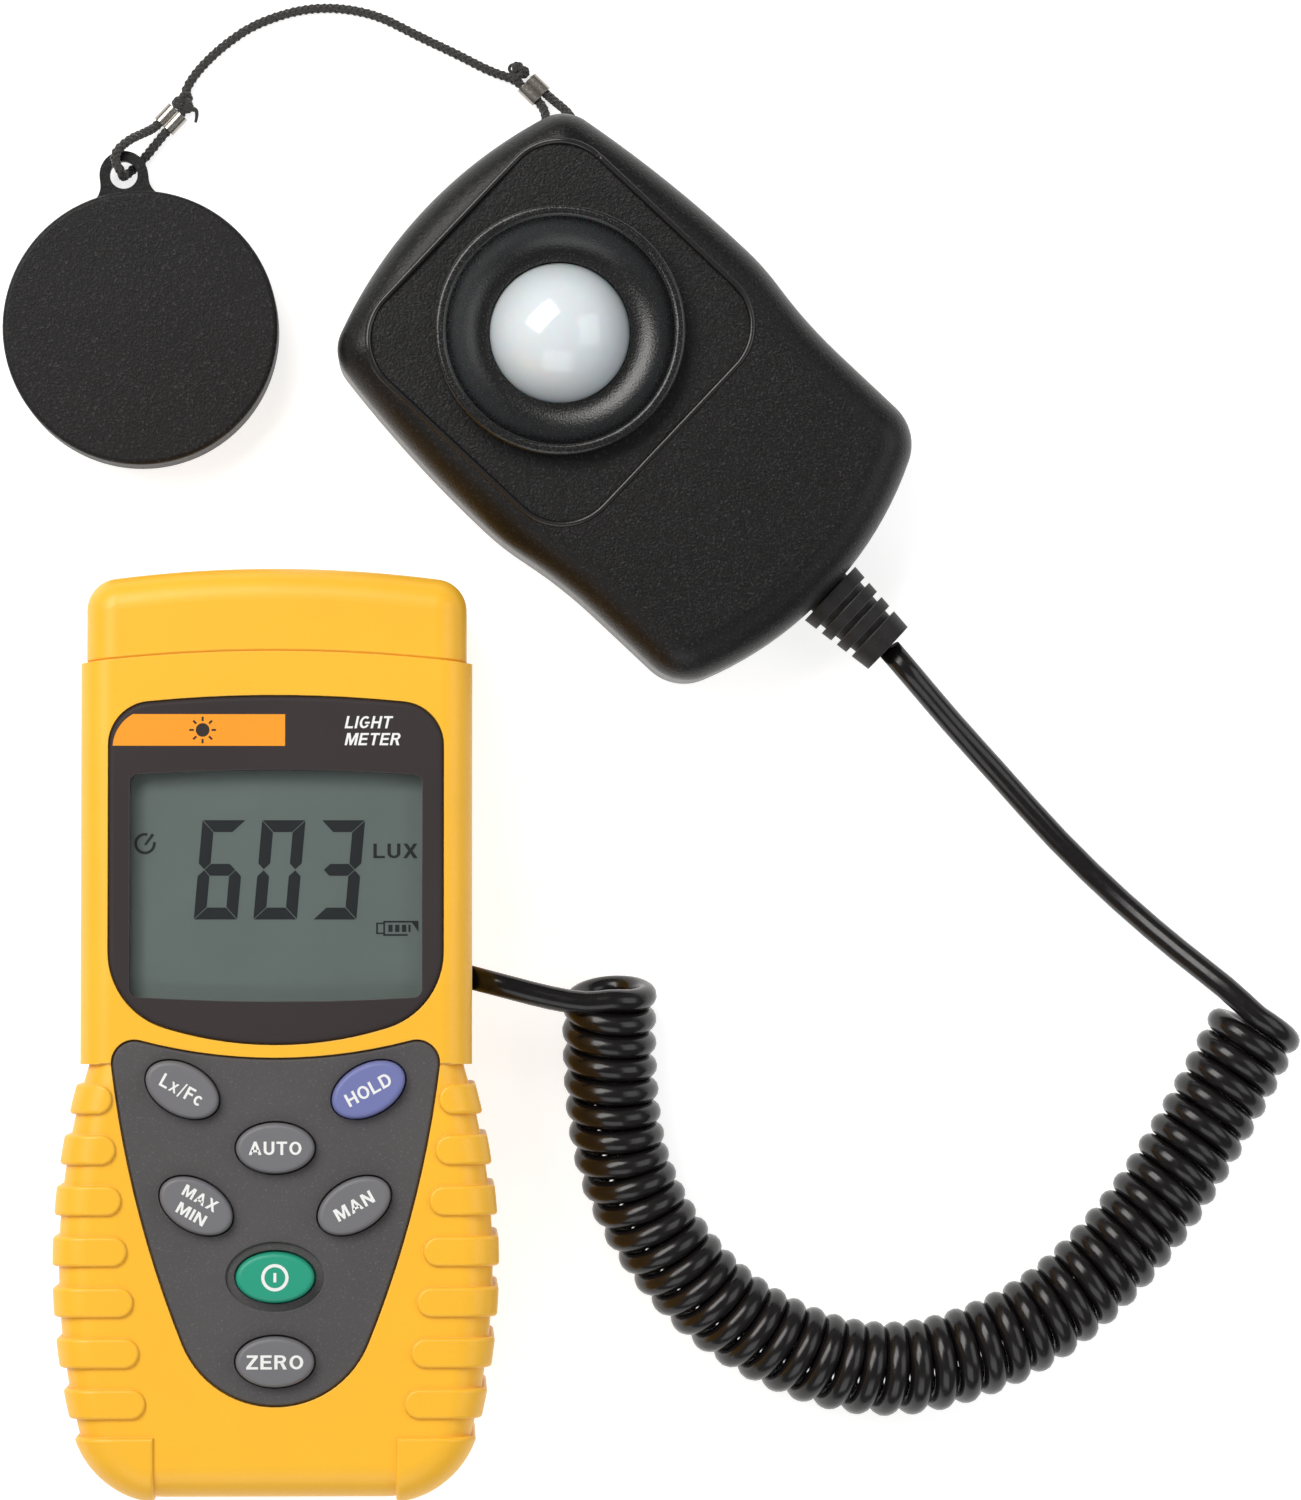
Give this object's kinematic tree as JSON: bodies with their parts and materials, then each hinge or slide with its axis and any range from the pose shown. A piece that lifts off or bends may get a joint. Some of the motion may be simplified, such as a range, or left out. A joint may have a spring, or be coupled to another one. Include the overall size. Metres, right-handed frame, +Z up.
{
  "type": "light meter",
  "caption": "Hand-held illuminance meter with a display and keypad, a domed sensor head on a curly lead, and a lens cap on a lanyard.",
  "frame": {"origin": "centre of the handset's flat back face, which rests on the surface, level with the back of the sensor head", "axes": "+X to the handset's right seen from its front, +Y along the handset to its display end, +Z up out of its front face"},
  "size_m": [0.1869, 0.2142, 0.038],
  "materials": {
    "orange_shell": "satin moulded plastic",
    "dark_frame": "matt moulded plastic",
    "keypad_grey": "fine textured plastic",
    "key_grey": "smooth silicone rubber",
    "key_blue": "smooth silicone rubber",
    "key_green": "smooth silicone rubber",
    "carbon": "carbon-filled rubber",
    "mat_grey": "silicone rubber",
    "clear_window": "clear acrylic",
    "lcd_glass": "grey-green liquid crystal glass",
    "white_plastic": "white moulded plastic",
    "board_green": "solder-masked glass-fibre board",
    "chip_black": "moulded epoxy",
    "battery_case": "printed steel jacket",
    "black_plastic": "fine-grained moulded plastic",
    "steel": "zinc-plated steel",
    "cord_black": "satin polyurethane sheath",
    "opal": "opal white acrylic",
    "filter_green": "photopic filter glass",
    "lanyard_braid": "braided polyester",
    "crimp_metal": "nickel-plated crimp"
  },
  "bodies": {
    "handset": {"front_housing": "orange_shell", "rear_housing": "orange_shell", "top_cap": "orange_shell", "display_bezel": "dark_frame", "display_window": "clear_window", "lcd_panel": "lcd_glass", "lcd_frame": "white_plastic", "zebra_strips": "mat_grey", "keypad_panel": "keypad_grey", "keypad_mat": "mat_grey", "main_board": "board_green", "board_chips": "chip_black", "battery": "battery_case", "battery_snap": "black_plastic", "case_screws": "steel", "board_screws": "steel", "cable_grommet": "cord_black", "lead_wires": "cord_black", "battery_wires": "cord_black", "cord_meter_lead": "cord_black", "cord_coil": "cord_black", "cord_sensor_lead": "cord_black"},
    "lux_fc_button": {"key_lux_fc": "key_grey", "pill_lux_fc": "carbon"},
    "hold_button": {"key_hold": "key_blue", "pill_hold": "carbon"},
    "auto_button": {"key_auto": "key_grey", "pill_auto": "carbon"},
    "max_min_button": {"key_max_min": "key_grey", "pill_max_min": "carbon"},
    "man_button": {"key_man": "key_grey", "pill_man": "carbon"},
    "power_button": {"key_power": "key_green", "pill_power": "carbon"},
    "zero_button": {"key_zero": "key_grey", "pill_zero": "carbon"},
    "battery_door": {"battery_cover": "orange_shell"},
    "sensor_head": {"sensor_front_cover": "black_plastic", "sensor_rear_cover": "black_plastic", "dome_collar": "black_plastic", "diffuser_dome": "opal", "colour_filter": "filter_green", "photodiode": "chip_black", "sensor_board": "board_green", "sensor_screws": "steel", "strain_relief": "cord_black", "sensor_wires": "cord_black", "lanyard_cord": "lanyard_braid", "ferrule_cap_end": "crimp_metal", "ferrule_head_end": "crimp_metal"},
    "cap": {"lens_cap": "black_plastic"}
  },
  "joints": [
    {"name": "lux_fc_press", "type": "slide", "parent": "handset", "child": "lux_fc_button", "axis": [0, 0, -1], "range_m": [0, 0.001], "stiffness_N_per_m": 800},
    {"name": "hold_press", "type": "slide", "parent": "handset", "child": "hold_button", "axis": [0, 0, -1], "range_m": [0, 0.001], "stiffness_N_per_m": 800},
    {"name": "auto_press", "type": "slide", "parent": "handset", "child": "auto_button", "axis": [0, 0, -1], "range_m": [0, 0.001], "stiffness_N_per_m": 800},
    {"name": "max_min_press", "type": "slide", "parent": "handset", "child": "max_min_button", "axis": [0, 0, -1], "range_m": [0, 0.001], "stiffness_N_per_m": 800},
    {"name": "man_press", "type": "slide", "parent": "handset", "child": "man_button", "axis": [0, 0, -1], "range_m": [0, 0.001], "stiffness_N_per_m": 800},
    {"name": "power_press", "type": "slide", "parent": "handset", "child": "power_button", "axis": [0, 0, -1], "range_m": [0, 0.001], "stiffness_N_per_m": 800},
    {"name": "zero_press", "type": "slide", "parent": "handset", "child": "zero_button", "axis": [0, 0, -1], "range_m": [0, 0.001], "stiffness_N_per_m": 800},
    {"name": "battery_door_slide", "type": "slide", "parent": "handset", "child": "battery_door", "axis": [0, -1, 0], "range_m": [0, 0.055]},
    {"name": "sensor_lift", "type": "slide", "parent": "handset", "child": "sensor_head", "axis": [0, 0, 1], "range_m": [0, 0.05]},
    {"name": "cap_swivel", "type": "hinge", "parent": "sensor_head", "child": "cap", "pos_m": [-0.02298, 0.12361, 0.0028], "axis": [0, 0, 1], "range_deg": [-60, 15]}
  ]
}
